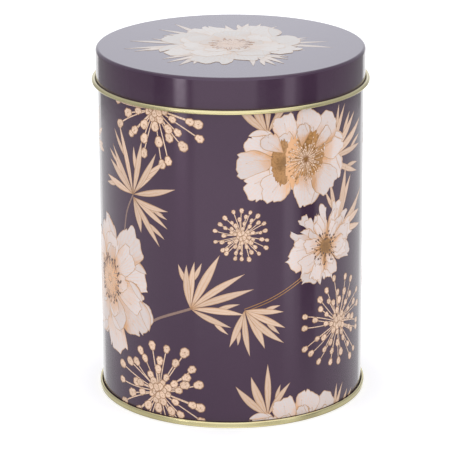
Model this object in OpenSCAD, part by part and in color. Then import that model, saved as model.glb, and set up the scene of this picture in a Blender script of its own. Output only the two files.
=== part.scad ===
// Round tinplate tea caddy: a seamed body with a slip lid over it, and a press-in inner lid that has
// a knob. Every sheet part is one centreline, given the thickness of the sheet and spun about Z.
// Millimetres, +Z up, origin at the middle of the ring that the caddy stands on.

/* [Body] */
// Height of the closed caddy
caddy_h = 140; // [100:1:180]
// Outside diameter of the body wall
body_d = 104.5; // [94:0.5:130]
// Thickness of the tinplate
sheet = 0.25; // [0.2:0.01:0.26]
// Outside diameter of the inward curl round the mouth
mouth_curl_d = 1.8; // [1.6:0.1:2.4]

/* [Slip lid] */
// Height of the slip lid
lid_h = 14; // [12:0.5:24]
// Gap between the body wall and the lid's skirt
lid_gap = 0.45; // [0.3:0.05:0.6]
// Outside diameter of the outward curl round the skirt's lower edge
lid_curl_d = 2; // [1.8:0.1:3]
// Radius of the lid's top edge, at the middle of the sheet
lid_edge_r = 1.1; // [0.8:0.1:1.4]

/* [Inner lid] */
// Depth of the inner lid's pan below the mouth
pan_depth = 12; // [11:0.5:18]
// Gap between the pan and the mouth curl
pan_gap = 0.15; // [0.1:0.05:0.3]
// Height of the knob
knob_h = 8.6; // [7:0.1:9]
// Diameter of the knob's head
knob_d = 15; // [13:0.5:20]
// Diameter of the knob's screw
screw_d = 3; // [2.5:0.1:3.5]

/* [Base seam] */
// Height of the double seam round the base
seam_h = 2.4; // [2.3:0.1:3]
// Gap between the layers of the seam
seam_gap = 0.16; // [0.13:0.01:0.18]
// Height of the base panel's rim above the ring that the caddy stands on
panel_z = 3.5; // [3:0.1:6]

/* [Hidden] */
$fn = 180;

half = sheet / 2;
slack = 0.05;          // gap between parts that rest on each other
nest_gap = 0.03;       // gap between the base's wall and the body wall
curl_end_gap = 0.08;   // gap between the end of a curl and its own wall
cut = 1;               // how far a cutting solid runs past what it cuts

body_r = body_d / 2 - half;                 // middle of the body wall's sheet

// Inner lid, from its flange down. The flange is hemmed: two layers with a small gap.
hem_gap = 0.05;
hem_t = 2 * sheet + hem_gap;
hem_r = (sheet + hem_gap) / 2;
flange_z = caddy_h - sheet - slack - half;  // middle of the flange's upper layer
flange_r = body_d / 2 - 0.35;               // outer edge of the flange
mouth_z = caddy_h - sheet - hem_t - 2 * slack;
mouth_r = body_d / 2 - mouth_curl_d;
pan_r = mouth_r - pan_gap - half;
pan_z = mouth_z - pan_depth - half;         // middle of the pan's floor
pan_edge_r = 1.6;
pan_lip_r = 0.6;
pan_bead_r = 36;
pan_bead_w = 5;
pan_bead_h = 0.8;

// Knob, its washer and its screw
shank_gap = 0.05;                           // all round the screw, in the pan and the washer
washer_t = 0.4;
washer_d = 11.6;
knob_z = pan_z + half + washer_t + 2 * slack;
knob_foot_d = 10;
knob_hole = 5;                              // depth of the knob's blind hole
screw_head_d = 6.4;
screw_head_h = 1.3;
recess_w = 0.9;                             // width of each arm of the screw's cross recess
recess_t = 0.7;

// Double seam, in layers from the body wall outwards: base hook, body hook, base
layer = sheet + seam_gap;
panel_step = 0.7;                           // how far the middle of the base panel is set down
turn_z = 2 * sheet + layer + 0.02;          // middle of the turn into the body's hook
hook_z = seam_h - half - layer - 0.06;      // end of the body's hook

// Folded lock seam up the back of the body wall
lock_w = 3.6;
lock_t = 0.55;                              // how far it stands in from the wall
groove_w = 0.35;
groove_t = 0.12;

tin = [0.62, 0.6, 0.52];
gold_lacquer = [0.74, 0.7, 0.45];
aubergine = [0.24, 0.16, 0.24];

// Points of an arc of radius r about c, from angle a to angle b in degrees
function arc(c, r, a, b, n = 10) = [for (i = [0:n]) let (t = a + (b - a) * i / n) c + r * [cos(t), sin(t)]];

// Points of a smooth bead of width w and height h at radius r, rising from a flat floor at height z
function bead(r, w, h, z, n = 12) = [for (i = [0:n]) [r + w * (i / n - 0.5), z + h * (1 - cos(360 * i / n)) / 2]];

function unit(v) = v / norm(v);
function left(v) = [-v[1], v[0]];

// Point i of a line, moved sideways by s, and mitred where the line bends
function mitred(line, i, s) =
    let (
        last = len(line) - 1,
        a = left(unit(i > 0 ? line[i] - line[i - 1] : line[1] - line[0])),
        b = left(unit(i < last ? line[i + 1] - line[i] : line[last] - line[last - 1])),
        n = unit(a + b)
    )
    line[i] + n * s / (n * a);

// Closed outline of the sheet that has this centreline
function sheet_outline(line) =
    let (last = len(line) - 1)
    concat(
        [for (i = [0:last]) mitred(line, i, half)],
        [for (i = [last:-1:0]) mitred(line, i, -half)]
    );

// How far round a curl of radius r goes before its end would touch its own wall
function curl_sweep(r) = 360 - acos(1 - (sheet + curl_end_gap) / r);

module spun(line) {
    rotate_extrude() polygon(sheet_outline(line));
}

// Drawn cover: flat top, rounded edge, straight skirt, and an outward curl at the bottom
module lid() {
    top_z = caddy_h - half;
    skirt_r = body_d / 2 + lid_gap + half;
    curl_r = lid_curl_d / 2 - half;
    color(aubergine) spun(concat(
        [[0, top_z]],
        arc([skirt_r - lid_edge_r, top_z - lid_edge_r], lid_edge_r, 90, 0),
        arc([skirt_r + curl_r, caddy_h - lid_h + half + curl_r], curl_r, 180, 180 + curl_sweep(curl_r), 30)
    ));
}

// Shallow pan that plugs the mouth, with a stiffening bead. Its flange rests on the mouth curl.
module inner_lid() {
    color(tin) difference() {
        spun(concat(
            [[0, pan_z]],
            bead(pan_bead_r, pan_bead_w, pan_bead_h, pan_z),
            arc([pan_r - pan_edge_r, pan_z + pan_edge_r], pan_edge_r, -90, 0),
            arc([pan_r + pan_lip_r, flange_z - pan_lip_r], pan_lip_r, 180, 90),
            arc([flange_r - half - hem_r, flange_z - hem_r], hem_r, 90, -90),
            [[pan_r + pan_lip_r + sheet + hem_gap, flange_z - 2 * hem_r]]
        ));
        translate([0, 0, pan_z - cut]) cylinder(d = screw_d + 2 * shank_gap, h = 2 * cut);
    }
}

// Turned knob: a foot, a waist for the fingertips, a domed head, and a blind hole for the screw
module inner_lid_knob() {
    foot_r = knob_foot_d / 2;
    foot_h = 0.8;
    foot_edge = 0.3;
    head_r = knob_d / 2;
    dome_h = 1.8;
    head_z = knob_h - dome_h - 0.3;
    waist_in = 1.7;
    outline = concat(
        [[0, 0], [foot_r - foot_edge, 0], [foot_r, foot_edge], [foot_r, foot_h]],
        [for (i = [1:12]) let (t = i / 12) [
            foot_r + (head_r - foot_r) * t * t - waist_in * sin(180 * sqrt(t)),
            foot_h + (head_z - foot_h) * t
        ]],
        [for (i = [0:12]) [head_r * sqrt(cos(7.5 * i)), knob_h - dome_h * (1 - sin(7.5 * i))]]
    );
    color(gold_lacquer) translate([0, 0, knob_z]) difference() {
        rotate_extrude() polygon(outline);
        translate([0, 0, -cut]) cylinder(d = screw_d + shank_gap, h = knob_hole + cut);
    }
}

module knob_washer() {
    color(tin) translate([0, 0, pan_z + half + slack]) difference() {
        cylinder(d = washer_d, h = washer_t);
        translate([0, 0, -cut]) cylinder(d = screw_d + 2 * shank_gap, h = washer_t + 2 * cut);
    }
}

// Screw up through the pan into the knob, with a domed head that has a cross recess
module knob_screw() {
    head_top = pan_z - half - slack;
    head_bottom = head_top - screw_head_h;
    dome_r = (pow(screw_head_d / 2, 2) + pow(screw_head_h, 2)) / (2 * screw_head_h);
    color(tin) difference() {
        union() {
            translate([0, 0, head_top - half]) cylinder(d = screw_d, h = knob_z + knob_hole - cut / 2 - head_top);
            intersection() {
                translate([0, 0, head_bottom + dome_r]) sphere(r = dome_r);
                translate([0, 0, head_bottom]) cylinder(d = screw_head_d + cut, h = screw_head_h);
            }
        }
        for (turn = [0, 90]) rotate(turn)
            translate([-screw_d / 2, -recess_w / 2, head_bottom - cut]) cube([screw_d, recess_w, recess_t + cut]);
    }
}

// Rolled wall: mouth curl above, hook of the double seam below, and a folded lock seam at the back
module body_wall() {
    curl_r = mouth_curl_d / 2 - half;
    lock_z = panel_z + cut;
    lock_top = mouth_z - mouth_curl_d - cut;
    groove_z = seam_h + slack;
    color(aubergine) difference() {
        union() {
            spun(concat(
                [[body_r + 2 * layer, hook_z]],
                arc([body_r + layer, turn_z], layer, 0, -180),
                arc([body_r - curl_r, mouth_z - half - curl_r], curl_r, 0, curl_sweep(curl_r), 30)
            ));
            intersection() {
                translate([0, 0, lock_z]) difference() {
                    cylinder(r = body_r, h = lock_top - lock_z);
                    translate([0, 0, -cut]) cylinder(r = body_r - half - lock_t, h = caddy_h);
                }
                translate([-lock_w / 2, 0, 0]) cube([lock_w, body_d, caddy_h]);
            }
        }
        translate([-groove_w / 2, body_d / 2 - groove_t, groove_z])
            cube([groove_w, cut, lock_top - groove_z]);
    }
}

// Pressed base: a stepped panel, a wall inside the body wall, and the outer layers of the seam
module base_end() {
    wall_r = body_r - sheet - nest_gap;
    outer_r = body_r + 3 * layer;
    foot_r = 0.45;
    corner_r = 0.9;
    step_r = body_r - 11;
    step_w = 3.2;
    color(gold_lacquer) spun(concat(
        [[0, panel_z - panel_step]],
        [for (i = [0:8]) [step_r + step_w * i / 8, panel_z - panel_step * (1 + cos(22.5 * i)) / 2]],
        arc([wall_r - corner_r, panel_z - corner_r], corner_r, 90, 0),
        arc([wall_r + foot_r, half + foot_r], foot_r, 180, 270, 6),
        arc([outer_r - foot_r, half + foot_r], foot_r, -90, 0, 6),
        arc([outer_r - layer, seam_h - half - layer], layer, 0, 180),
        [[body_r + layer, turn_z]]
    ));
}

// Sealing compound that fills the seam's top, over the body's hook and down its outside
module seam_compound() {
    edge = 0.02;
    fill_r = layer - half - edge;
    middle_r = body_r + 2 * layer;
    color("dimgray") rotate_extrude() polygon(concat(
        [[middle_r + half + edge, turn_z], [middle_r + fill_r, turn_z]],
        arc([middle_r, seam_h - half - layer], fill_r, 0, 180, 12),
        [[middle_r - fill_r, hook_z + edge], [middle_r + half + edge, hook_z + edge]]
    ));
}

lid();
inner_lid();
inner_lid_knob();
knob_washer();
knob_screw();
body_wall();
base_end();
seam_compound();
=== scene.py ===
"""Looks of a round printed tinplate tea caddy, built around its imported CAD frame.

Sizes are in millimetres until they reach Blender, which works in metres. The print is thin solid
ink: flowers, leaves and umbels drawn on the unrolled sheet and then laid on the wall or the lid.
"""
import cmath
import math
import random

import bmesh
import bpy
import numpy as np
from mathutils import Matrix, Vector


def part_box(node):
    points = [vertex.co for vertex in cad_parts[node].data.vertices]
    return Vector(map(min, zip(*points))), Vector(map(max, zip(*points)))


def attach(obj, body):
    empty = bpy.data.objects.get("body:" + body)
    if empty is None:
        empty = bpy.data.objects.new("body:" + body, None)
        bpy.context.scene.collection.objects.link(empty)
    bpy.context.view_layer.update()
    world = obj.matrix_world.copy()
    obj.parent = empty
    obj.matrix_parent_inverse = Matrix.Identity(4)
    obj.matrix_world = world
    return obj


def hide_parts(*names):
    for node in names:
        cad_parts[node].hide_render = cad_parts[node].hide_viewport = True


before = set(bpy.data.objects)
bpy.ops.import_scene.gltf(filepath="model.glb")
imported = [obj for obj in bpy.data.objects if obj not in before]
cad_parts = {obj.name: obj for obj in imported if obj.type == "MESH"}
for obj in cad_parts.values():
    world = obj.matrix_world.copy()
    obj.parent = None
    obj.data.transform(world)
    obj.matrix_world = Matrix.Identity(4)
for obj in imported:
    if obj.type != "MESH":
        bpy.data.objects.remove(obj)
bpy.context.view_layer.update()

MM = 0.001
scene = bpy.context.scene

# Sizes that the CAD model has too
SHEET = 0.25
HALF = SHEET / 2
BODY_R = 52.25
LID_GAP = 0.45
LID_EDGE_R = 1.1
MOUTH_CURL_D = 1.8
SEAM_H = 2.4
SEAM_LAYER = SHEET + 0.16
PANEL_Z = 3.5
LOCK_W = 3.6
LOCK_T = 0.55
GROOVE_W = 0.35
GROOVE_T = 0.12
TURNS = 288


def span(node):
    """Lowest and highest corner of a CAD node, in millimetres."""
    low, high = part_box(node)
    return low / MM, high / MM


LID_LOW, LID_HIGH = span("lid")
PAN_LOW, PAN_HIGH = span("inner_lid")
BODY_HIGH = span("body_wall")[1]
KNOB_LOW, KNOB_HIGH = span("inner_lid_knob")
TOP_Z = LID_HIGH.z
PRINT_TOP = LID_LOW.z + 4


# ---------------------------------------------------------------- camera, light and floor

def add_camera():
    data = bpy.data.cameras.new("camera")
    data.sensor_width = 36
    data.lens = 208.4
    data.shift_x = -0.0115
    data.shift_y = -0.0787
    camera = bpy.data.objects.new("camera", data)
    scene.collection.objects.link(camera)
    pitch = math.radians(16.957)
    roll = math.radians(-0.2545)
    place = Matrix.Translation((0, -996.9 * MM, 384.2 * MM))
    camera.matrix_world = place @ Matrix.Rotation(math.pi / 2 - pitch, 4, "X") @ Matrix.Rotation(roll, 4, "Z")
    scene.camera = camera


def panel_stops(fill, panels, soft=4):
    """Brightness by angle round the caddy: a white backdrop behind it, an even fill, and soft-edged panels.

    panels is a list of (middle in degrees from straight ahead towards +X, width, brightness).
    """
    backdrop = 152
    stops = [(-180, 1.0), (-backdrop - soft, 1.0), (-backdrop, fill)]
    for middle, width, light in panels:
        near = middle - width / 2
        far = middle + width / 2
        stops += [(near - soft, fill), (near, light), (far, light), (far + soft, fill)]
    return stops + [(backdrop, fill), (backdrop + soft, 1.0), (180, 1.0)]


def add_world():
    """White studio with a soft box in front of the caddy, a strip light on each side, and dark flags."""
    world = bpy.data.worlds.new("studio")
    world.use_nodes = True
    scene.world = world
    tree = world.node_tree
    tree.nodes.clear()
    new = tree.nodes.new
    link = tree.links.new
    peak = 5.0
    front_box = (-5, 50, 0.95)
    left_strip = (-43, 6, 3.0)
    right_strip = (51, 6, 1.2)
    left_flag = (-62, 8, 0.05)
    middle_flag = (36, 8, 0.1)
    right_flag = (70, 12, 0.1)
    coord = new("ShaderNodeTexCoord")
    split = new("ShaderNodeSeparateXYZ")
    link(coord.outputs["Generated"], split.inputs[0])
    ahead = new("ShaderNodeMath")
    ahead.operation = "MULTIPLY"
    ahead.inputs[1].default_value = -1
    link(split.outputs["Y"], ahead.inputs[0])
    turn = new("ShaderNodeMath")
    turn.operation = "ARCTAN2"
    link(split.outputs["X"], turn.inputs[0])
    link(ahead.outputs[0], turn.inputs[1])
    share = new("ShaderNodeMapRange")
    share.inputs["From Min"].default_value = -math.pi
    share.inputs["From Max"].default_value = math.pi
    link(turn.outputs[0], share.inputs["Value"])

    def panel_ramp(tint, fill, panels=(), soft=4):
        node = new("ShaderNodeValToRGB")
        stops = node.color_ramp.elements
        levels = panel_stops(fill, panels, soft)
        while len(stops) < len(levels):
            stops.new(0.5)
        for stop, (angle, light) in zip(stops, levels):
            stop.position = (angle + 180) / 360
            stop.color = (*(light * c / peak for c in tint), 1)
        link(share.outputs[0], node.inputs[0])
        return node.outputs[0]

    def mix_by_height(lower, upper, low, high):
        """One colour below an elevation in degrees, the other above it."""
        climb = new("ShaderNodeMapRange")
        climb.interpolation_type = "SMOOTHSTEP"
        climb.inputs["From Min"].default_value = math.sin(math.radians(low))
        climb.inputs["From Max"].default_value = math.sin(math.radians(high))
        link(split.outputs["Z"], climb.inputs["Value"])
        mix = new("ShaderNodeMix")
        mix.data_type = "RGBA"
        link(climb.outputs[0], mix.inputs["Factor"])
        for key, color in (("A", lower), ("B", upper)):
            if isinstance(color, tuple):
                mix.inputs[key].default_value = (*(c / peak for c in color), 1)
            else:
                link(color, mix.inputs[key])
        return mix.outputs["Result"]

    white = (1.0, 1.0, 1.0)
    cool = (1.0, 1.02, 1.1)
    ground = panel_ramp(white, 0.45, ((0, 60, 1.2),), 40)
    by_floor = panel_ramp(white, 0.6)
    by_wall = panel_ramp(white, 0.75, (front_box, right_strip, right_flag))
    all_panels = (left_flag, left_strip, front_box, middle_flag, right_strip, right_flag)
    by_skirt = panel_ramp(white, 0.3, all_panels)
    seen = mix_by_height(ground, by_floor, -28, -24)
    seen = mix_by_height(seen, by_wall, -21, -19)
    seen = mix_by_height(seen, by_skirt, -15.5, -15)
    seen = mix_by_height(seen, panel_ramp(cool, 0.5, ((0, 70, 1.2),), 35), -6, 6)
    seen = mix_by_height(seen, (1.1, 1.1, 1.12), 45, 60)
    # Gloss sees the panels. Matt surfaces are lit by the even light of the whole studio.
    path = new("ShaderNodeLightPath")
    light = new("ShaderNodeMix")
    light.data_type = "RGBA"
    link(path.outputs["Is Glossy Ray"], light.inputs["Factor"])
    light.inputs["A"].default_value = (1.19 / peak, 1.19 / peak, 1.23 / peak, 1)
    link(seen, light.inputs["B"])
    background = new("ShaderNodeBackground")
    background.inputs["Strength"].default_value = peak
    link(light.outputs["Result"], background.inputs["Color"])
    output = new("ShaderNodeOutputWorld")
    link(background.outputs[0], output.inputs[0])


def add_floor():
    size = 3.0
    mesh = bpy.data.meshes.new("floor")
    corners = [(-size, -size, 0), (size, -size, 0), (size, size, 0), (-size, size, 0)]
    mesh.from_pydata(corners, [], [(0, 1, 2, 3)])
    floor = bpy.data.objects.new("floor", mesh)
    scene.collection.objects.link(floor)
    paint = bpy.data.materials.new("floor")
    paint.use_nodes = True
    shader = paint.node_tree.nodes["Principled BSDF"]
    shader.inputs["Base Color"].default_value = (0.92, 0.92, 0.92, 1)
    shader.inputs["Roughness"].default_value = 0.9
    shader.inputs["Specular IOR Level"].default_value = 0
    shader.inputs["Emission Color"].default_value = (1, 1, 1, 1)
    shader.inputs["Emission Strength"].default_value = 0.22
    mesh.materials.append(paint)
    floor.visible_glossy = False


# ---------------------------------------------------------------- materials

def start_material(name):
    material = bpy.data.materials.new(name)
    material.use_nodes = True
    tree = material.node_tree
    return material, tree, tree.nodes["Principled BSDF"]


def noise(tree, scale, detail=2.0, stretch=(1, 1, 1)):
    """Noise in object space. Scale is in cycles per metre."""
    coord = tree.nodes.new("ShaderNodeTexCoord")
    mapping = tree.nodes.new("ShaderNodeMapping")
    mapping.inputs["Scale"].default_value = stretch
    texture = tree.nodes.new("ShaderNodeTexNoise")
    texture.inputs["Scale"].default_value = scale
    texture.inputs["Detail"].default_value = detail
    tree.links.new(coord.outputs["Object"], mapping.inputs["Vector"])
    tree.links.new(mapping.outputs[0], texture.inputs["Vector"])
    return texture.outputs["Fac"]


def ramp(tree, value, low, high, out_low=0.0, out_high=1.0):
    node = tree.nodes.new("ShaderNodeMapRange")
    node.interpolation_type = "SMOOTHSTEP"
    for key, number in (("From Min", low), ("From Max", high), ("To Min", out_low), ("To Max", out_high)):
        node.inputs[key].default_value = number
    tree.links.new(value, node.inputs["Value"])
    return node.outputs[0]


def math_node(tree, operation, a, b=None, clamp=False):
    node = tree.nodes.new("ShaderNodeMath")
    node.operation = operation
    node.use_clamp = clamp
    for socket, value in zip(node.inputs, (a, b)):
        if value is None:
            continue
        if isinstance(value, (int, float)):
            socket.default_value = value
        else:
            tree.links.new(value, socket)
    return node.outputs[0]


def blend_colors(tree, factor, a, b):
    node = tree.nodes.new("ShaderNodeMix")
    node.data_type = "RGBA"
    tree.links.new(factor, node.inputs["Factor"])
    for key, color in (("A", a), ("B", b)):
        if isinstance(color, tuple):
            node.inputs[key].default_value = (*color, 1)
        else:
            tree.links.new(color, node.inputs[key])
    return node.outputs["Result"]


def attribute(tree, name):
    node = tree.nodes.new("ShaderNodeAttribute")
    node.attribute_name = name
    return node.outputs["Fac"]


def bump(tree, height, distance):
    node = tree.nodes.new("ShaderNodeBump")
    node.inputs["Distance"].default_value = distance
    node.inputs["Strength"].default_value = 1.0
    tree.links.new(height, node.inputs["Height"])
    return node.outputs[0]


def varnish(tree, shader):
    """Clear stoving varnish over the print, with a faint orange peel."""
    shader.inputs["Coat Weight"].default_value = 1.0
    shader.inputs["Coat IOR"].default_value = 1.55
    shader.inputs["Coat Roughness"].default_value = 0.09
    peel = noise(tree, 260, 1.0)
    tree.links.new(bump(tree, peel, 0.000012), shader.inputs["Coat Normal"])


def clouded_material(name, scale, dark, light):
    """A material whose color drifts between two, in soft clouds."""
    material, tree, shader = start_material(name)
    cloud = ramp(tree, noise(tree, scale, 3.0), 0.3, 0.7)
    tree.links.new(blend_colors(tree, cloud, dark, light), shader.inputs["Base Color"])
    return material, tree, shader


def lacquer_material():
    material, tree, shader = start_material("aubergine_lacquer")
    cloud = ramp(tree, noise(tree, 22, 3.0), 0.3, 0.7)
    color = blend_colors(tree, cloud, (0.038, 0.0192, 0.0375), (0.043, 0.0218, 0.0415))
    grain = ramp(tree, noise(tree, 3200, 2.0), 0.25, 0.75, 0.93, 1.07)
    scaled = tree.nodes.new("ShaderNodeVectorMath")
    scaled.operation = "SCALE"
    tree.links.new(color, scaled.inputs[0])
    tree.links.new(grain, scaled.inputs["Scale"])
    tree.links.new(scaled.outputs[0], shader.inputs["Base Color"])
    shader.inputs["Roughness"].default_value = 0.14
    shader.inputs["Specular IOR Level"].default_value = 0.2
    shader.inputs["Specular Tint"].default_value = (1.0, 0.3, 1.0, 1)
    varnish(tree, shader)
    return material


def gold_material(name, stretch):
    """Clear gold lacquer over bright tinplate, with the sheet's fine rolling grain."""
    material, tree, shader = clouded_material(name, 60, (0.74, 0.65, 0.35), (0.80, 0.72, 0.40))
    shader.inputs["Metallic"].default_value = 1.0
    grain = noise(tree, 900, 3.0, stretch)
    tree.links.new(ramp(tree, grain, 0.2, 0.8, 0.17, 0.21), shader.inputs["Roughness"])
    shader.inputs["Coat Weight"].default_value = 0.4
    shader.inputs["Coat Roughness"].default_value = 0.12
    tree.links.new(bump(tree, grain, 0.0000005), shader.inputs["Normal"])
    return material


def steel_material():
    material, tree, shader = clouded_material("zinc_plate", 400, (0.52, 0.53, 0.54), (0.64, 0.65, 0.67))
    shader.inputs["Metallic"].default_value = 1.0
    tree.links.new(ramp(tree, noise(tree, 2500, 2.0), 0.2, 0.8, 0.26, 0.42), shader.inputs["Roughness"])
    return material


def brass_material():
    material, tree, shader = clouded_material("turned_brass", 300, (0.76, 0.58, 0.27), (0.84, 0.68, 0.36))
    shader.inputs["Metallic"].default_value = 1.0
    lathe_marks = noise(tree, 500, 2.0, (1, 1, 14))
    tree.links.new(ramp(tree, lathe_marks, 0.2, 0.8, 0.14, 0.28), shader.inputs["Roughness"])
    tree.links.new(bump(tree, lathe_marks, 0.000006), shader.inputs["Normal"])
    return material


def compound_material():
    material, _, shader = clouded_material("compound", 900, (0.26, 0.26, 0.26), (0.34, 0.34, 0.33))
    shader.inputs["Roughness"].default_value = 0.8
    return material


def ink_material(name, pale, gold, line, root=0.1, veins=0.3, rim_share=0.8, speckles=0.3, flush=0.0,
                 ribs=44.0):
    """Opaque pale ink over metallic gold. Gold shows at a shape's root, in its veins and down one side.

    The marks on the print's meshes are along (0 at a shape's root, 1 at its tip), across (-1 to 1 over
    its width), rim (1 on its outline) and shade (one number for each shape). The outline is in the line
    color.
    """
    material, tree, shader = start_material(name)
    along = attribute(tree, "along")
    across = attribute(tree, "across")
    rim = attribute(tree, "rim")
    shade = attribute(tree, "shade")
    wobble = math_node(tree, "MULTIPLY", noise(tree, 420, 2.0), 5.0)
    spread = math_node(tree, "MULTIPLY", across, ribs)
    stripes = math_node(tree, "SINE", math_node(tree, "ADD", spread, wobble))
    fade = ramp(tree, along, 0.15, 0.95, 1.0, 0.25)
    lines = math_node(tree, "MULTIPLY", ramp(tree, stripes, 0.1, 1.0), fade)
    speckle = ramp(tree, noise(tree, 1500, 1.0), 0.5, 0.58)
    uneven = noise(tree, 150, 2.0)
    reach = math_node(tree, "MULTIPLY", ramp(tree, uneven, 0.3, 0.7, 0.55, 1.0), root)
    from_root = math_node(tree, "SUBTRACT", 1.0, math_node(tree, "DIVIDE", along, reach), True)
    amount = math_node(tree, "MULTIPLY", lines, veins)
    amount = math_node(tree, "ADD", amount, from_root)
    amount = math_node(tree, "ADD", amount, math_node(tree, "MULTIPLY", speckle, speckles))
    if flush:
        side = math_node(tree, "SUBTRACT", math_node(tree, "GREATER_THAN", shade, 0.5), 0.5)
        toward = math_node(tree, "MULTIPLY", math_node(tree, "MULTIPLY", side, 2.0), across)
        patches = ramp(tree, uneven, 0.35, 0.6, 0.3, 1.0)
        glow = math_node(tree, "MULTIPLY", ramp(tree, toward, 0.3, 1.0), patches)
        amount = math_node(tree, "ADD", amount, math_node(tree, "MULTIPLY", glow, flush))
    amount = math_node(tree, "MINIMUM", amount, 1.0)
    outline = math_node(tree, "MULTIPLY", ramp(tree, rim, 0.2, 0.55), rim_share)
    tone = ramp(tree, shade, 0.0, 1.0, 0.93, 1.05)
    toned = tree.nodes.new("ShaderNodeVectorMath")
    toned.operation = "SCALE"
    filled = blend_colors(tree, amount, pale, gold)
    color = tree.nodes.new("ShaderNodeMix")
    color.data_type = "RGBA"
    tree.links.new(outline, color.inputs["Factor"])
    tree.links.new(filled, color.inputs["A"])
    color.inputs["B"].default_value = (*line, 1)
    tree.links.new(color.outputs["Result"], toned.inputs[0])
    tree.links.new(tone, toned.inputs["Scale"])
    tree.links.new(toned.outputs[0], shader.inputs["Base Color"])
    tree.links.new(math_node(tree, "MULTIPLY", amount, 0.55), shader.inputs["Metallic"])
    tree.links.new(ramp(tree, amount, 0.0, 1.0, 0.55, 0.34), shader.inputs["Roughness"])
    shader.inputs["Specular IOR Level"].default_value = 0.1
    varnish(tree, shader)
    return material


# ---------------------------------------------------------------- sheet metal

def arc(center, radius, start, end, steps=12):
    turns = [math.radians(start + (end - start) * i / steps) for i in range(steps + 1)]
    return [(center[0] + radius * math.cos(t), center[1] + radius * math.sin(t)) for t in turns]


def curl_sweep(radius):
    """How far round a curl goes before its end would touch its own wall."""
    return 360 - math.degrees(math.acos(1 - (SHEET + 0.08) / radius))


def tucked_curl(center, radius):
    """A curl that starts down its own wall and winds inwards after its outermost point, clear of the wall."""
    points = []
    for degrees in range(180, 511, 10):
        share = max(degrees - 360, 0) / 150
        turn = math.radians(degrees)
        reach = radius * (1 - 0.28 * share)
        points.append((center[0] + reach * math.cos(turn), center[1] + reach * math.sin(turn)))
    return points


def supported(line):
    """Adds points near the ends of long straight runs, so that shading stays flat along them."""
    inset = 0.15
    out = [line[0]]
    for a, b in zip(line, line[1:]):
        length = math.dist(a, b)
        if length > 6 * inset:
            for share in (inset / length, 1 - inset / length):
                out.append((a[0] + (b[0] - a[0]) * share, a[1] + (b[1] - a[1]) * share))
        out.append(b)
    return out


def side_lines(line):
    """The two faces of the sheet that has this centreline: its left and its right."""
    points = np.array(line, float)
    steps = np.diff(points, axis=0)
    steps /= np.linalg.norm(steps, axis=1)[:, None]
    lefts = np.stack([-steps[:, 1], steps[:, 0]], 1)
    before = np.vstack([lefts[:1], lefts])
    after = np.vstack([lefts, lefts[-1:]])
    mean = before + after
    mean /= np.linalg.norm(mean, axis=1)[:, None]
    reach = HALF / np.sum(mean * before, axis=1)
    shift = mean * reach[:, None]
    return points + shift, points - shift


def spin(name, outline, marks, materials, body, node, angles=None, reshape=None):
    """Spins a closed outline about Z. marks gives each outline edge's material."""
    if angles is None:
        angles = [2 * math.pi * i / TURNS for i in range(TURNS)]
    mesh = bmesh.new()
    rings = []
    for angle in angles:
        ring = []
        for index, (r, z) in enumerate(outline):
            if reshape:
                r = reshape(r, z, angle)
            ring.append(mesh.verts.new((r * MM * math.sin(angle), -r * MM * math.cos(angle), z * MM)))
        rings.append(ring)
    count = len(outline)
    for ring, following in zip(rings, rings[1:] + rings[:1]):
        for i in range(count):
            j = (i + 1) % count
            if outline[i][0] < 1e-6 and outline[j][0] < 1e-6:
                continue
            face = mesh.faces.new((ring[i], following[i], following[j], ring[j]))
            face.material_index = marks[i]
            face.smooth = True
    bmesh.ops.remove_doubles(mesh, verts=mesh.verts, dist=1e-8)
    bmesh.ops.recalc_face_normals(mesh, faces=mesh.faces)
    data = bpy.data.meshes.new(name)
    mesh.to_mesh(data)
    mesh.free()
    for material in materials:
        data.materials.append(material)
    data.set_sharp_from_angle(angle=math.radians(50))
    piece = bpy.data.objects.new(name, data)
    scene.collection.objects.link(piece)
    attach(piece, body)
    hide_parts(node)
    return piece


def sheet_outline(line, left_mark=0, right_mark=0):
    """Closed outline of a sheet, with a material mark for each edge."""
    left, right = side_lines(supported(line))
    outline = [tuple(p) for p in left] + [tuple(p) for p in right[::-1]]
    marks = [left_mark] * len(left) + [right_mark] * len(right)
    return outline, marks


def lid_line():
    skirt_r = BODY_R + LID_GAP + HALF
    curl_r = (LID_HIGH.x - skirt_r - HALF) / 2
    top = TOP_Z - HALF
    return (
        [(0, top)]
        + arc((skirt_r - LID_EDGE_R, top - LID_EDGE_R), LID_EDGE_R, 90, 0)
        + tucked_curl((skirt_r + curl_r, LID_LOW.z + HALF + curl_r), curl_r)
    )


def body_line():
    wall_r = BODY_R - HALF
    curl_r = MOUTH_CURL_D / 2 - HALF
    turn_z = 2 * SHEET + SEAM_LAYER + 0.02
    lock_low = PANEL_Z + 1
    lock_high = BODY_HIGH.z - MOUTH_CURL_D - 1
    step = 0.01
    breaks = (lock_low - step, lock_low + step, PRINT_TOP, lock_high - step, lock_high + step)
    return (
        [(wall_r + 2 * SEAM_LAYER, SEAM_H - HALF - SEAM_LAYER - 0.06)]
        + arc((wall_r + SEAM_LAYER, turn_z), SEAM_LAYER, 0, -180)
        + [(wall_r, z) for z in breaks]
        + arc((wall_r - curl_r, BODY_HIGH.z - HALF - curl_r), curl_r, 0, curl_sweep(curl_r), 36)
    )


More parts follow.
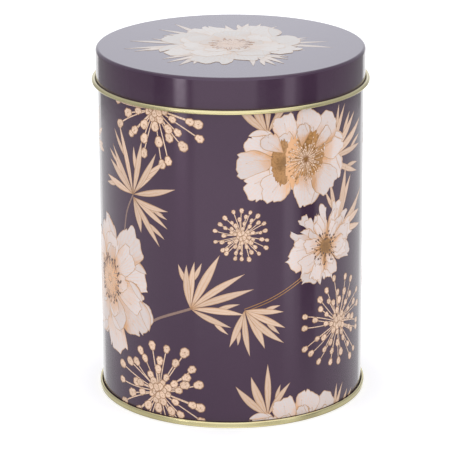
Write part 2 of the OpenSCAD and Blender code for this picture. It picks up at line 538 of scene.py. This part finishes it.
def base_line():
    wall_r = BODY_R - HALF - SHEET - 0.03
    outer_r = BODY_R - HALF + 3 * SEAM_LAYER
    foot_r, corner_r, step, step_r, step_w = 0.45, 0.9, 0.7, BODY_R - HALF - 11, 3.2
    shares = [i / 16 for i in range(17)]
    return (
        [(0, PANEL_Z - step)]
        + [(step_r + step_w * s, PANEL_Z - step * (1 + math.cos(math.pi * s)) / 2) for s in shares]
        + arc((wall_r - corner_r, PANEL_Z - corner_r), corner_r, 90, 0)
        + arc((wall_r + foot_r, HALF + foot_r), foot_r, 180, 270)
        + arc((outer_r - foot_r, HALF + foot_r), foot_r, -90, 0)
        + arc((outer_r - SEAM_LAYER, SEAM_H - HALF - SEAM_LAYER), SEAM_LAYER, 0, 180)
        + [(BODY_R - HALF + SEAM_LAYER, 2 * SHEET + SEAM_LAYER + 0.02)]
    )


def pan_line():
    floor_z = PAN_LOW.z + HALF
    flange_z = PAN_HIGH.z - HALF
    pan_r = BODY_R - MOUTH_CURL_D - 0.15 - HALF
    edge_r, lip_r, hem_r = 1.6, 0.6, (SHEET + 0.05) / 2
    bead_r, bead_w, bead_h = 36, 5, 0.8
    bead = []
    for i in range(21):
        share = i / 20
        height = bead_h * (1 - math.cos(2 * math.pi * share)) / 2
        bead.append((bead_r + bead_w * (share - 0.5), floor_z + height))
    return (
        [(0, floor_z)]
        + bead
        + arc((pan_r - edge_r, floor_z + edge_r), edge_r, -90, 0)
        + arc((pan_r + lip_r, flange_z - lip_r), lip_r, 180, 90)
        + arc((PAN_HIGH.x - HALF - hem_r, flange_z - hem_r), hem_r, 90, -90)
        + [(pan_r + lip_r + SHEET + 0.05, flange_z - 2 * hem_r)]
    )


def knob_outline():
    foot_z, top_z, head_r = KNOB_LOW.z, KNOB_HIGH.z, KNOB_HIGH.x
    foot_r, foot_h, foot_edge, dome_h, waist_in, hole_r, hole_h = 5.0, 0.8, 0.3, 1.8, 1.7, 1.525, 5.0
    head_z = top_z - dome_h - 0.3
    outline = [(0, foot_z + hole_h), (hole_r, foot_z + hole_h), (hole_r, foot_z)]
    outline.append((foot_r - foot_edge, foot_z))
    outline += arc((foot_r - foot_edge, foot_z + foot_edge), foot_edge, -90, 0, 6)
    outline += [(foot_r, foot_z + foot_h)]
    for i in range(1, 33):
        t = i / 32
        waist = waist_in * math.sin(math.pi * math.sqrt(t))
        height = foot_z + foot_h + (head_z - foot_z - foot_h) * t
        outline.append((foot_r + (head_r - foot_r) * t * t - waist, height))
    for i in range(1, 33):
        t = math.pi / 2 * i / 32
        outline.append((head_r * math.sqrt(max(math.cos(t), 0)), top_z - dome_h * (1 - math.sin(t))))
    outline[-1] = (0, top_z)
    return outline


def seam_angles(edges):
    """Angles round the body, with extra ones beside each edge of the lock seam at the back."""
    angles = [2 * math.pi * i / TURNS for i in range(TURNS) if abs(i - TURNS / 2) > 2.5]
    for edge in edges:
        for side in (-1, 1):
            for nudge in (-0.02, 0.02):
                angles.append(math.pi + side * (edge + nudge) / BODY_R)
    return sorted(angles)


def lock_seam(r, z, angle):
    """Radius of the body's wall, with the folded lock seam at the back: a strip inside, a groove outside."""
    off = abs(angle - math.pi) * BODY_R
    if not PANEL_Z + 1 < z < BODY_HIGH.z - MOUTH_CURL_D - 1:
        return r
    if abs(r - BODY_R) < 0.01 and off < GROOVE_W / 2:
        return r - GROOVE_T
    if abs(r - BODY_R + SHEET) < 0.01 and off < LOCK_W / 2:
        return r - LOCK_T
    return r


def add_sheet_metal(lacquer, gold):
    outline, marks = sheet_outline(lid_line(), 0, 1)
    spin("lid_sheet", outline, marks, [lacquer, gold], "slip_lid", "lid")

    left, right = side_lines(supported(body_line()))
    outline = [tuple(p) for p in left] + [tuple(p) for p in right[::-1]]
    marks = [1] * len(left) + [0 if z < PRINT_TOP else 1 for _, z in right[::-1]]
    spin("body_sheet", outline, marks, [lacquer, gold], "can", "body_wall",
         seam_angles((GROOVE_W / 2, LOCK_W / 2)), lock_seam)

    outline, marks = sheet_outline(base_line())
    spin("base_sheet", outline, marks, [gold], "can", "base_end")


def add_inner_lid(gold, brass, steel):
    line = pan_line()
    hole_r = 1.55
    line[0] = (hole_r, line[0][1])
    outline, marks = sheet_outline(line)
    spin("inner_lid_sheet", outline, marks, [gold], "inner_lid_set", "inner_lid")
    outline = knob_outline()
    spin("knob_turned", outline, [0] * len(outline), [brass], "inner_lid_set", "inner_lid_knob")
    for node in ("knob_washer", "knob_screw"):
        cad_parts[node].data.materials.clear()
        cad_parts[node].data.materials.append(steel)


# ---------------------------------------------------------------- print

# The print is drawn flat, in millimetres, with complex numbers for points. On the wall the real part runs
# round the can from the middle of its front, and the imaginary part is the height. On the lid they are X
# and Y. Leaves and petals are set out by rule, with a seeded chance in each.
FIRST_LAYER = 0.010
LAYER = 0.002
FACET = 2 * math.pi * BODY_R / TURNS
REPEAT_U = math.pi * BODY_R
REPEAT_V = 114
MARKS = ("along", "across", "rim", "shade")
INKS = ("petals", "hearts", "leaves", "umbels", "stems", "anthers")


def ray(length, degrees):
    return cmath.rect(length, math.radians(degrees))


class Sheet:
    """A flat drawing in several inks, clipped to a window, and cut where the metal under it has facets."""

    def __init__(self, low, high, facet=None):
        self.low = low
        self.high = high
        self.facet = facet
        self.offset = 0j
        self.points = {ink: [] for ink in INKS}
        self.faces = {ink: [] for ink in INKS}
        self.marks = {ink: [] for ink in INKS}

    def cuts(self, left, right, below, above):
        """Planes that a shape with these limits is cut by: (point, normal, whether what lies beyond goes)."""
        found = []
        if left < self.low.real:
            found.append(((self.low.real, 0, 0), (-1, 0, 0), True))
        if right > self.high.real:
            found.append(((self.high.real, 0, 0), (1, 0, 0), True))
        if below < self.low.imag:
            found.append(((0, self.low.imag, 0), (0, -1, 0), True))
        if above > self.high.imag:
            found.append(((0, self.high.imag, 0), (0, 1, 0), True))
        if self.facet:
            for k in range(math.ceil(left / self.facet), math.floor(right / self.facet) + 1):
                found.append(((k * self.facet, 0, 0), (1, 0, 0), False))
        return found

    def shape(self, ink, rows, closed, lift):
        """Adds a shape. rows are equal runs of (point, along, across, rim, shade), joined run to run."""
        places = [mark[0] + self.offset for row in rows for mark in row]
        left, right = min(p.real for p in places), max(p.real for p in places)
        below, above = min(p.imag for p in places), max(p.imag for p in places)
        if right <= self.low.real or left >= self.high.real:
            return
        if above <= self.low.imag or below >= self.high.imag:
            return
        mesh = bmesh.new()
        layers = [mesh.verts.layers.float.new(mark) for mark in MARKS]
        made = []
        for row in rows:
            line = []
            for point, *marks in row:
                place = point + self.offset
                vert = mesh.verts.new((place.real, place.imag, 0))
                for layer, mark in zip(layers, marks):
                    vert[layer] = mark
                line.append(vert)
            made.append(line)
        for row, following in zip(made, made[1:]):
            count = len(row)
            for i in range(count if closed else count - 1):
                j = (i + 1) % count
                if len(following) == 1:
                    mesh.faces.new((row[i], row[j], following[0]))
                else:
                    mesh.faces.new((row[i], row[j], following[j], following[i]))
        for place, normal, clear in self.cuts(left, right, below, above):
            parts = mesh.verts[:] + mesh.edges[:] + mesh.faces[:]
            bmesh.ops.bisect_plane(
                mesh, geom=parts, plane_co=place, plane_no=normal, dist=1e-5, clear_outer=clear)
        mesh.verts.index_update()
        first = len(self.points[ink])
        for vert in mesh.verts:
            self.points[ink].append((complex(vert.co.x, vert.co.y), lift))
            self.marks[ink].append([vert[layer] for layer in layers])
        for face in mesh.faces:
            face.normal_update()
            ring = [first + vert.index for vert in face.verts]
            self.faces[ink].append(ring if face.normal.z > 0 else ring[::-1])
        mesh.free()


def blob(sheet, ink, outline, middle, lift, marks, rim=0.4, shade=0.5, dot=0):
    """Fills an outline that its middle can see all of. marks gives along and across at a point."""
    around = sum(cmath.phase((b - middle) / (a - middle)) for a, b in zip(outline, outline[1:]))
    way = 1 if around > 0 else -1
    seen = [outline[0]]
    for p in outline[1:]:
        if way * cmath.phase((p - middle) / (seen[-1] - middle)) > 0.002:
            seen.append(p)
    outline = seen
    rows = [[(p, *marks(p), 1, shade) for p in outline]]
    inset = []
    for p in outline:
        reach = abs(middle - p)
        inset.append(p + (middle - p) * min(rim / max(reach, 1e-6), 0.4))
    for share in (1, 0.66, 0.33):
        points = [middle + (p - middle) * share for p in inset]
        rows.append([(p, *marks(p), 0, shade) for p in points])
    rows.append([(middle, *marks(middle), dot, shade)])
    sheet.shape(ink, rows, True, lift)


def strip(sheet, ink, spine, halves, lift, rim=0.3, shade=0.5, along=0.0):
    """A ribbon along a spine. halves are its half-widths."""
    rows = []
    last = len(spine) - 1
    for i, (p, half) in enumerate(zip(spine, halves)):
        run = spine[min(i + 1, last)] - spine[max(i - 1, 0)]
        side = 1j * run / abs(run)
        inner = max(half - rim, half * 0.45)
        tip = 1 if i in (0, last) else 0
        row = []
        for offset, edge in ((-half, 1), (-inner, tip), (0, tip), (inner, tip), (half, 1)):
            row.append((p + side * offset, along + (1 - along) * i / last, offset / half, edge, shade))
        rows.append(row)
    sheet.shape(ink, rows, False, lift)


def petal(sheet, root, angle, length, spread, lift, dice, ruffle=0.05, blunt=0.4, teeth=0, glow=1.0):
    """A fan-shaped petal with a ruffled, torn edge. The smaller glow is, the further its gold reaches."""
    steps = 56
    phases = [dice.uniform(0, 6.28) for _ in range(3)]
    notches = [(dice.uniform(-0.85, 0.85), dice.uniform(0.05, 0.13)) for _ in range(3)]
    outline = []
    for i in range(1, steps):
        s = math.sin((2 * i / steps - 1) * math.pi / 2)
        wave = 0.55 * math.sin(4.2 * s + phases[0]) + 0.28 * math.sin(9.7 * s + phases[1])
        wave += 0.17 * math.sin(23 * s + phases[2])
        reach = length * math.cos(s * math.pi / 2) ** blunt * (1 + ruffle * wave)
        if teeth:
            reach *= 1 - 0.12 * abs(math.sin(teeth * s + phases[0])) ** 0.7
        for where, depth in notches:
            reach *= 1 - depth * max(1 - abs(s - where) / 0.07, 0)
        turn = 3.5 * math.sin(6 * s + phases[1]) * ruffle / 0.06
        outline.append(root + ray(reach + dice.uniform(-0.13, 0.13), angle + s * spread + turn))
    outline.append(root)
    middle = root + ray(length * 0.56, angle)
    wide = math.radians(spread)

    def marks(point):
        rel = (point - root) / ray(1, angle)
        if abs(rel) < 1e-6:
            return 0, 0
        return min(abs(rel) / length * glow, 1), min(max(cmath.phase(rel) / wide, -1), 1)

    blob(sheet, "petals", outline, middle, lift, marks, 0.45, dice.random())


def fold(sheet, root, angle, length, spread, lift, dice, start=-0.5, end=0.6, depth=0.13):
    """A turned-over edge of a petal: a crescent with a gold line round it."""
    spine = []
    halves = []
    count = 18
    for i in range(count + 1):
        t = i / count
        s = start + (end - start) * t
        reach = length * math.cos(s * math.pi / 2) ** 0.4
        half = max(length * depth * math.sin(math.pi * t) ** 0.7 / 2, 0.05)
        spine.append(root + ray(reach - half * 0.9, angle + s * spread))
        halves.append(half)
    strip(sheet, "petals", spine, halves, lift, 0.4, dice.random(), 0.7)


def crease(sheet, root, angle, length, lift, dice):
    """A soft gold fold line on a petal, over part of its length."""
    start, end, half = 0.2, 0.74, 0.3
    bend = dice.uniform(-14, 14)
    spine = []
    halves = []
    for i in range(11):
        t = start + (end - start) * i / 10
        spine.append(root + ray(length * t, angle + bend * (t - start) ** 2 * 2))
        halves.append(max(half * math.sin(math.pi * (0.08 + 0.84 * i / 10)), 0.03))
    strip(sheet, "petals", spine, halves, lift, 0.08)


def heart(sheet, middle, radius, lift, dice, stretch=1.0, ink="hearts"):
    """The golden heart of a flower, with a ragged edge."""
    outline = []
    count = 64
    for i in range(count):
        reach = radius * (1 + dice.uniform(-0.07, 0.07) + 0.06 * math.sin(i * 0.7) * (-1) ** i)
        p = ray(reach, 360 * i / count)
        outline.append(middle + complex(p.real, p.imag * stretch))
    share = 1 if ink == "hearts" else 0.15

    def marks(point):
        return min(abs(point - middle) / radius, 1) * share, 0

    blob(sheet, ink, outline, middle, lift, marks, 0.5, dice.random())


def stamens(sheet, middle, inner, outer, count, lift, dice, ink="stems", dots="anthers", dot=0.42,
            starts=(0.2, 0.5)):
    """Fine filaments round a flower's heart, each with an anther at its tip."""
    for i in range(count):
        angle = 360 * (i + dice.uniform(0.1, 0.9)) / count
        start = dice.uniform(*starts) * inner
        end = dice.uniform(inner, outer)
        bend = dice.uniform(-12, 12)
        spine = []
        for k in range(6):
            t = k / 5
            spine.append(middle + ray(start + (end - start) * t, angle + bend * t * t))
        strip(sheet, ink, spine, [0.11] * 6, lift + LAYER * (i % 5), 0.03, dice.random())
        tip = spine[-1]
        size = dot * dice.uniform(0.75, 1.2)
        bead = [tip + ray(size * (1.35 if k in (0, 5) else 1.0), angle + 36 * k) for k in range(10)]
        blob(sheet, dots, bead, tip, lift + LAYER * (5 + i % 5), lambda p: (0.6, 0), 0.12, dice.random())


def leaf(sheet, base, angle, length, width, lift, dice, bend=0.0, lobes=(), blunt=1.0):
    """A lance-shaped leaf, with small side lobes given as (share of the length, side, lobe length)."""
    count = 18
    spine = [base]
    for i in range(count):
        spine.append(spine[-1] + ray(length / count, angle + bend * i / count))
    halves = []
    for i in range(count + 1):
        t = i / count
        halves.append(max(width * 0.54 * math.sin(math.pi * t ** blunt), 0.04))
    for share, side, size in lobes:
        start = spine[int(share * count)]
        heading = angle + bend * share + side * 27
        leaf(sheet, start, heading, size * 1.25, width * 0.68, lift, dice, -side * 14, (), 0.85)
    strip(sheet, "leaves", spine, halves, lift + (LAYER if lobes else 0), 0.3, dice.random())


def umbel_head(sheet, tip, heading, size, lift, dice):
    """One flower head: round, drawn in towards its stalk, with a notch at its top."""
    outline = []
    count = 20
    lobe = dice.uniform(0.05, 0.14)
    for k in range(count):
        a = 360 * k / count
        neck = 0.42 * max(-math.cos(math.radians(a)), 0) ** 4
        reach = size * (1 + neck - lobe * math.cos(math.radians(3 * a)) ** 2)
        outline.append(tip + ray(reach, heading + a))
    blob(sheet, "umbels", outline, tip, lift, lambda p: (abs(p - tip) / size / 1.5, 0), min(0.5, size * 0.36),
         dice.random(), 0.7)


def umbel(sheet, middle, tiers, lift, dice, stalk=0.2, core=1.6):
    """A round head of stalked flowers. tiers are (count, shortest, longest, head size), from outside in."""
    for tier, (count, short, long, size) in enumerate(tiers):
        turn = dice.uniform(0, 360)
        for i in range(count):
            angle = turn + 360 * (i + dice.uniform(-0.22, 0.22)) / count
            length = dice.uniform(short, long)
            bend = dice.uniform(-5, 5)
            spine = [middle + ray(length * k / 6, angle + bend * (k / 6) ** 2) for k in range(7)]
            halves = [stalk * (1 + 0.35 * k / 6) for k in range(7)]
            strip(sheet, "umbels", spine, halves, lift + 2 * tier * LAYER, 0.07, dice.random())
            head_size = size * dice.uniform(0.85, 1.12)
            umbel_head(sheet, spine[-1], angle + bend, head_size, lift + (2 * tier + 1) * LAYER, dice)
    for i in range(7):
        spot = middle + ray(core if i else 0, 60 * i + 15)
        umbel_head(sheet, spot, 60 * i, core * 0.72, lift + (2 * len(tiers) + 1 + i % 3) * LAYER, dice)


def smooth_line(points):
    """A curve through a few points."""
    count = 10
    out = []
    ends = [2 * points[0] - points[1]] + list(points) + [2 * points[-1] - points[-2]]
    for a, b, c, d in zip(ends, ends[1:], ends[2:], ends[3:]):
        for k in range(count):
            t = k / count
            square = (2 * a - 5 * b + 4 * c - d) * t * t
            cube = (3 * b - a - 3 * c + d) * t ** 3
            out.append(0.5 * (2 * b + (c - a) * t + square + cube))
    out.append(points[-1])
    return out


def stem(sheet, points, half, lift):
    spine = smooth_line(points)
    strip(sheet, "stems", spine, [half] * len(spine), lift, 0.1, 0.2)


def double_stem(sheet, points, gap, lift):
    spine = smooth_line(points)
    last = len(spine) - 1
    for side in (-1, 1):
        line = []
        for i, p in enumerate(spine):
            run = spine[min(i + 1, last)] - spine[max(i - 1, 0)]
            line.append(p + 1j * run / abs(run) * side * gap / 2)
        strip(sheet, "hearts", line, [0.17] * len(line), lift, 0.05, 0.8)


def dressed_petal(sheet, root, angle, length, spread, lift, dice, folded=0.6, glow=1.0):
    """A petal with a turned-over edge and a crease. Returns the next free layer."""
    petal(sheet, root, angle, length, spread, lift, dice, 0.07, 0.3, 0, glow)
    if dice.random() < folded:
        side = dice.choice((-1, 1))
        ends = sorted((side * 0.8, side * 0.05))
        fold(sheet, root, angle, length, spread, lift + LAYER, dice, *ends, 0.18)
    crease(sheet, root, angle + dice.uniform(-0.5, 0.5) * spread, length, lift + 2 * LAYER, dice)
    return lift + 3 * LAYER


def petal_ring(count, length, spread, turn, dice):
    """Petals evenly round a flower, with some chance in each: (angle, length, spread)."""
    ring = []
    for i in range(count):
        angle = turn + 360 * (i + dice.uniform(-0.16, 0.16)) / count
        ring.append((angle, length * dice.uniform(0.9, 1.08), spread))
    return ring


def petal_fan(count, first, last, length, spread, dice):
    """Petals of a flower seen half from the side, as (root, angle, length, spread)."""
    fan = []
    for i in range(count):
        angle = first + (last - first) * (i + dice.uniform(-0.2, 0.2)) / (count - 1)
        turn = math.radians(angle)
        root = complex(9 * math.cos(turn), 4 * math.sin(turn))
        fan.append((root, angle, length * dice.uniform(0.88, 1.1), spread))
    return fan


def open_peony(sheet, middle, lift, dice):
    """A peony seen half from the side, with a wide golden heart between its petals and a painted highlight
    over the heart: a tall peach strip.
    """
    back = petal_fan(8, -25, 215, 16, 38, dice)
    front = petal_fan(3, 240, 315, 16, 44, dice)
    inner = petal_fan(3, 30, 150, 10, 30, dice)
    for root, angle, length, spread in back:
        lift = dressed_petal(sheet, middle + root, angle, length, spread, lift, dice)
    for i in range(6):
        petal(sheet, middle + ray(2, 60 * i), 60 * i + 20, 11, 46, lift, dice, 0.08)
        lift += LAYER
    for root, angle, length, spread in front:
        lift = dressed_petal(sheet, middle + root, angle, length, spread, lift, dice, 0.2)
    for spot, radius, stretch in ((-7 - 1j, 4.6, 1.9), (4.5 + 1j, 7.6, 1.15)):
        heart(sheet, middle + spot, radius, lift, dice, stretch)
        lift += LAYER
    # Painted highlight: the tall peach strip in petal ink drawn next is a strip light's bright reflection in
    # the gold ink, painted on as print colour.
    center = middle - 2.5 - 1.5j
    flush = []
    for k in range(52):
        turn = 2 * math.pi * k / 52
        reach = dice.uniform(0.84, 1.1)
        flush.append(center + complex(3.4 * reach * math.cos(turn), 10 * reach * math.sin(turn)))
    blob(sheet, "petals", flush, center, lift, lambda p: (0.0, 0.0), 0.1, 1.0)
    stamens(sheet, middle + 2 - 1j, 3.0, 9.5, 46, lift + LAYER, dice, "hearts", "hearts")
    stamens(sheet, middle + 3 - 1j, 3.0, 8.8, 60, lift + 12 * LAYER, dice, "umbels", "umbels")
    lift += 24 * LAYER
    for root, angle, length, spread in inner:
        lift = dressed_petal(sheet, middle + root, angle, length, spread, lift, dice, 0.3)
    return lift


def facing_peony(sheet, middle, lift, dice, rings, heart_r, anthers, dots="anthers", folded=0.6):
    """A peony seen from the front. rings are (count, length, spread, turn), from the back forwards."""
    for ring in rings:
        glow = 0.5 if ring is rings[-1] else 0.8
        for angle, length, spread in petal_ring(*ring, dice):
            root = middle + ray(heart_r * 0.35, angle)
            reach = length - heart_r * 0.35
            lift = dressed_petal(sheet, root, angle, reach, spread, lift, dice, folded, glow)
    heart(sheet, middle, heart_r, lift, dice, 1.05, "petals")
    inner, outer = heart_r * 0.5, heart_r * 0.85
    stamens(sheet, middle, inner, outer, anthers // 2, lift + LAYER, dice, "umbels", "umbels", 0.3)
    stamens(sheet, middle, heart_r * 0.95, heart_r * 1.3, anthers, lift + 12 * LAYER, dice, "stems", dots,
            0.42, (0.7, 0.95))
    return lift + 24 * LAYER


def fringed_flower(sheet, middle, lift, dice):
    """A flower with many toothed petals."""
    for count, length, spread, turn in ((10, 20, 28, 8), (8, 16, 30, 24), (6, 11, 32, 0)):
        for i in range(count):
            angle = turn + 360 * (i + dice.uniform(-0.25, 0.25)) / count
            reach = length * dice.uniform(0.82, 1.06) * (1 - 0.17 * abs(math.sin(math.radians(angle))))
            root = middle + ray(1.2, angle)
            if math.sin(math.radians(angle)) > 0.3:
                for turn_off in (-14, 10):
                    long = reach * dice.uniform(1.0, 1.2)
                    petal(sheet, root, angle + turn_off, long, spread * 0.5, lift, dice, 0.07, 0.45, 2.5)
                    lift += LAYER
            else:
                petal(sheet, root, angle, reach, spread, lift, dice, 0.07, 0.3, 5.5)
            crease(sheet, middle, angle + dice.uniform(-0.5, 0.5) * spread, reach, lift + LAYER, dice)
            lift += 2 * LAYER
    heart(sheet, middle, 3.2, lift, dice)
    stamens(sheet, middle, 2.6, 7.2, 54, lift + LAYER, dice, "hearts", "anthers", 0.36)
    return lift + 12 * LAYER


def spray(sheet, base, heading, fan, count, reach, lift, dice):
    """A fan of leaves from one point, with chance in each one's heading, length, width, bend and lobes."""
    for i in range(count):
        share = i / (count - 1) - 0.5
        angle = heading + fan * share + dice.uniform(-7, 7)
        length = reach * (1 - 0.5 * abs(share)) * dice.uniform(0.85, 1.1)
        bend = dice.uniform(-20, 20)
        lobes = ()
        if dice.random() < 0.5:
            lobes = ((dice.uniform(0.38, 0.6), dice.choice((-1, 1)), length * 0.38),)
        leaf(sheet, base, angle - bend / 2, length, dice.uniform(2.2, 3.3), lift, dice, bend, lobes)
        lift += 2 * LAYER
    return lift


def draw_wall_repeat(sheet):
    """One repeat of the wall's print, half of the way round the can and 114 mm high."""
    large = ((17, 17, 22, 1.85), (14, 11.5, 15.5, 1.85), (11, 7, 10, 1.75), (8, 3.6, 5, 1.6))
    small = ((18, 9.2, 11.2, 0.92), (15, 6.6, 8.4, 0.88), (12, 4.2, 5.6, 0.85), (8, 2.4, 3.2, 0.85))
    medium = ((18, 16, 20.5, 1.4), (14, 11.5, 14.5, 1.4), (12, 7, 10, 1.35), (9, 3.6, 5.5, 1.3))
    umbel(sheet, -30 + 126j, large, FIRST_LAYER, random.Random(11), 0.2, 2.2)
    umbel(sheet, 4 + 78j, small, FIRST_LAYER, random.Random(12), 0.14, 1.3)
    umbel(sheet, 48 + 36j, medium, FIRST_LAYER, random.Random(13), 0.16, 1.9)

    dice = random.Random(14)
    stem(sheet, (-42 + 90j, -46 + 82j, -48 + 72j), 0.34, FIRST_LAYER)
    top = spray(sheet, -42 + 90j, 95, 150, 8, 27, FIRST_LAYER + 8 * LAYER, dice)
    spray(sheet, -42 + 89j, -45, 70, 4, 22, top, dice)

    dice = random.Random(15)
    stem(sheet, (-38 + 36j, -30 + 42j, -16 + 48j), 0.5, FIRST_LAYER)
    spray(sheet, -16 + 48j, 35, 130, 7, 27, FIRST_LAYER + 2 * LAYER, dice)

    dice = random.Random(16)
    double_stem(sheet, (5 + 48j, 16 + 52j, 26 + 57j, 34 + 62j), 1.0, FIRST_LAYER)
    spray(sheet, 5 + 48j, -55, 110, 6, 22, FIRST_LAYER + 3 * LAYER, dice)

    dice = random.Random(17)
    top = spray(sheet, 42 + 104j, 20, 90, 5, 30, FIRST_LAYER, dice)
    top = spray(sheet, 14 + 118j, 100, 80, 4, 22, top, dice)
    open_peony(sheet, 27 + 107j, top + 8 * LAYER, random.Random(18))

    top = spray(sheet, 46 + 74j, 45, 110, 6, 28, FIRST_LAYER + LAYER, random.Random(19))
    fringed_flower(sheet, 40 + 69j, top, random.Random(20))

    spray(sheet, 86 + 104j, 90, 190, 6, 18, FIRST_LAYER, random.Random(21))
    rings = ((8, 28, 32, 10), (7, 22, 33, 32), (5, 15, 36, 5))
    facing_peony(sheet, -60 + 51j, FIRST_LAYER + 10 * LAYER, random.Random(22), rings, 7.6, 60)


def draw_lid(sheet):
    """The lid's single flower, with leaves looking out from under it."""
    dice = random.Random(31)
    top = FIRST_LAYER
    for heading in (0, 75, 130, 180, 235, 300):
        top = spray(sheet, ray(14, heading), heading, 55, 4, 28, top, dice)
    rings = ((8, 30, 36, 20), (7, 21, 42, 42), (5, 13, 46, 10))
    facing_peony(sheet, 0j, top, random.Random(32), rings, 7.5, 36, "hearts", 0.3)


def wall_place(point, lift):
    """A point on the wall's faceted surface, and its direction outwards."""
    angle = point.real / BODY_R
    step = 2 * math.pi / TURNS
    middle = (math.floor(angle / step + 1e-7) + 0.5) * step
    radius = BODY_R * math.cos(step / 2) / math.cos(angle - middle) + lift
    out = (math.sin(angle), -math.cos(angle), 0)
    return (radius * out[0], radius * out[1], point.imag), out


def lid_place(point, lift):
    return (point.real, point.imag, TOP_Z + lift), (0, 0, 1)


def lay(sheet, prefix, place, materials, body):
    """Turns each ink of a flat drawing into thin solid shapes on the metal."""
    for ink in INKS:
        if not sheet.faces[ink]:
            continue
        tops, outs, bottoms = [], [], []
        for point, lift in sheet.points[ink]:
            top, out = place(point, lift)
            tops.append(top)
            bottoms.append(place(point, -0.01)[0])
            outs.append(out)
        count = len(tops)
        corners = np.array(tops + bottoms) * MM
        faces = []
        normals = []
        edges = set()
        for ring in sheet.faces[ink]:
            faces.append(ring)
            normals.extend(outs[i] for i in ring)
            faces.append([i + count for i in reversed(ring)])
            normals.extend(tuple(-c for c in outs[i]) for i in reversed(ring))
            edges.update(zip(ring, ring[1:] + ring[:1]))
        rims = np.array(sorted((a, b) for a, b in edges if (b, a) not in edges))
        sides = np.stack([rims[:, 0], rims[:, 0] + count, rims[:, 1] + count, rims[:, 1]], 1)
        first, second, third, fourth = (corners[sides[:, k]] for k in range(4))
        across = np.cross(third - first, fourth - second)
        across /= np.maximum(np.linalg.norm(across, axis=1), 1e-20)[:, None]
        faces.extend(sides.tolist())
        normals.extend(np.repeat(across, 4, axis=0).tolist())
        name = prefix + ink
        data = bpy.data.meshes.new(name)
        data.from_pydata(corners.tolist(), [], faces)
        for index, mark in enumerate(MARKS):
            values = [row[index] for row in sheet.marks[ink]]
            data.attributes.new(mark, "FLOAT", "POINT").data.foreach_set("value", values + values)
        data.materials.append(materials[ink])
        data.polygons.foreach_set("use_smooth", [True] * len(data.polygons))
        data.normals_split_custom_set(normals)
        piece = bpy.data.objects.new(name, data)
        scene.collection.objects.link(piece)
        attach(piece, body)


def add_print():
    peach = (0.84, 0.46, 0.23)
    brown = (0.30, 0.15, 0.07)
    petal_line = (0.50, 0.29, 0.15)
    materials = {
        "petals": ink_material(
            "petal_ink", (0.63, 0.565, 0.545), peach, petal_line, 0.7, 0.42, 0.9, 0.15, 0.9),
        "hearts": ink_material(
            "heart_ink", (0.44, 0.22, 0.075), (0.32, 0.155, 0.045), brown, 1.1, 0.0, 0.2, 0.6),
        "leaves": ink_material(
            "leaf_ink", (0.65, 0.47, 0.35), (0.60, 0.34, 0.18), brown, 0.2, 0.7, 0.65, 0.1, 0.3, 7.0),
        "umbels": ink_material(
            "umbel_ink", (0.74, 0.54, 0.40), (0.50, 0.28, 0.14), brown, 0.02, 0.0, 0.9, 0.4),
        "stems": ink_material(
            "stem_ink", (0.26, 0.165, 0.135), (0.2, 0.12, 0.09), brown, 0.02, 0.3, 0.3, 0.2),
        "anthers": ink_material(
            "anther_ink", (0.09, 0.05, 0.04), (0.22, 0.13, 0.08), brown, 0.1, 0.0, 0.2, 0.4),
    }
    wall = Sheet(complex(-REPEAT_U + 0.55, 2.5), complex(REPEAT_U - 0.55, PRINT_TOP), FACET)
    for column in (-1, 0, 1):
        for row in (-1, 0):
            wall.offset = complex(column * REPEAT_U, row * REPEAT_V)
            draw_wall_repeat(wall)
    lay(wall, "print_", wall_place, materials, "can")
    warm = (0.56, 0.38, 0.24)
    materials["petals"] = ink_material(
        "lid_petal_ink", (0.54, 0.51, 0.47), warm, warm, 0.7, 0.42, 0.7, 0.15, 0.6)
    materials["leaves"] = ink_material(
        "lid_leaf_ink", (0.56, 0.49, 0.42), (0.56, 0.42, 0.31), brown, 0.2, 0.7, 0.4, 0.1, 0.3, 7.0)
    lid = Sheet(complex(-50, -50), complex(50, 50))
    draw_lid(lid)
    lay(lid, "lid_print_", lid_place, materials, "slip_lid")


add_camera()
add_world()
add_floor()
lacquer = lacquer_material()
gold = gold_material("gold_lacquer", (1, 1, 12))
brass = brass_material()
steel = steel_material()
add_sheet_metal(lacquer, gold)
add_inner_lid(gold, brass, steel)
add_print()
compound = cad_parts["seam_compound"].data
compound.materials.clear()
compound.materials.append(compound_material())
scene.view_settings.view_transform = "Standard"
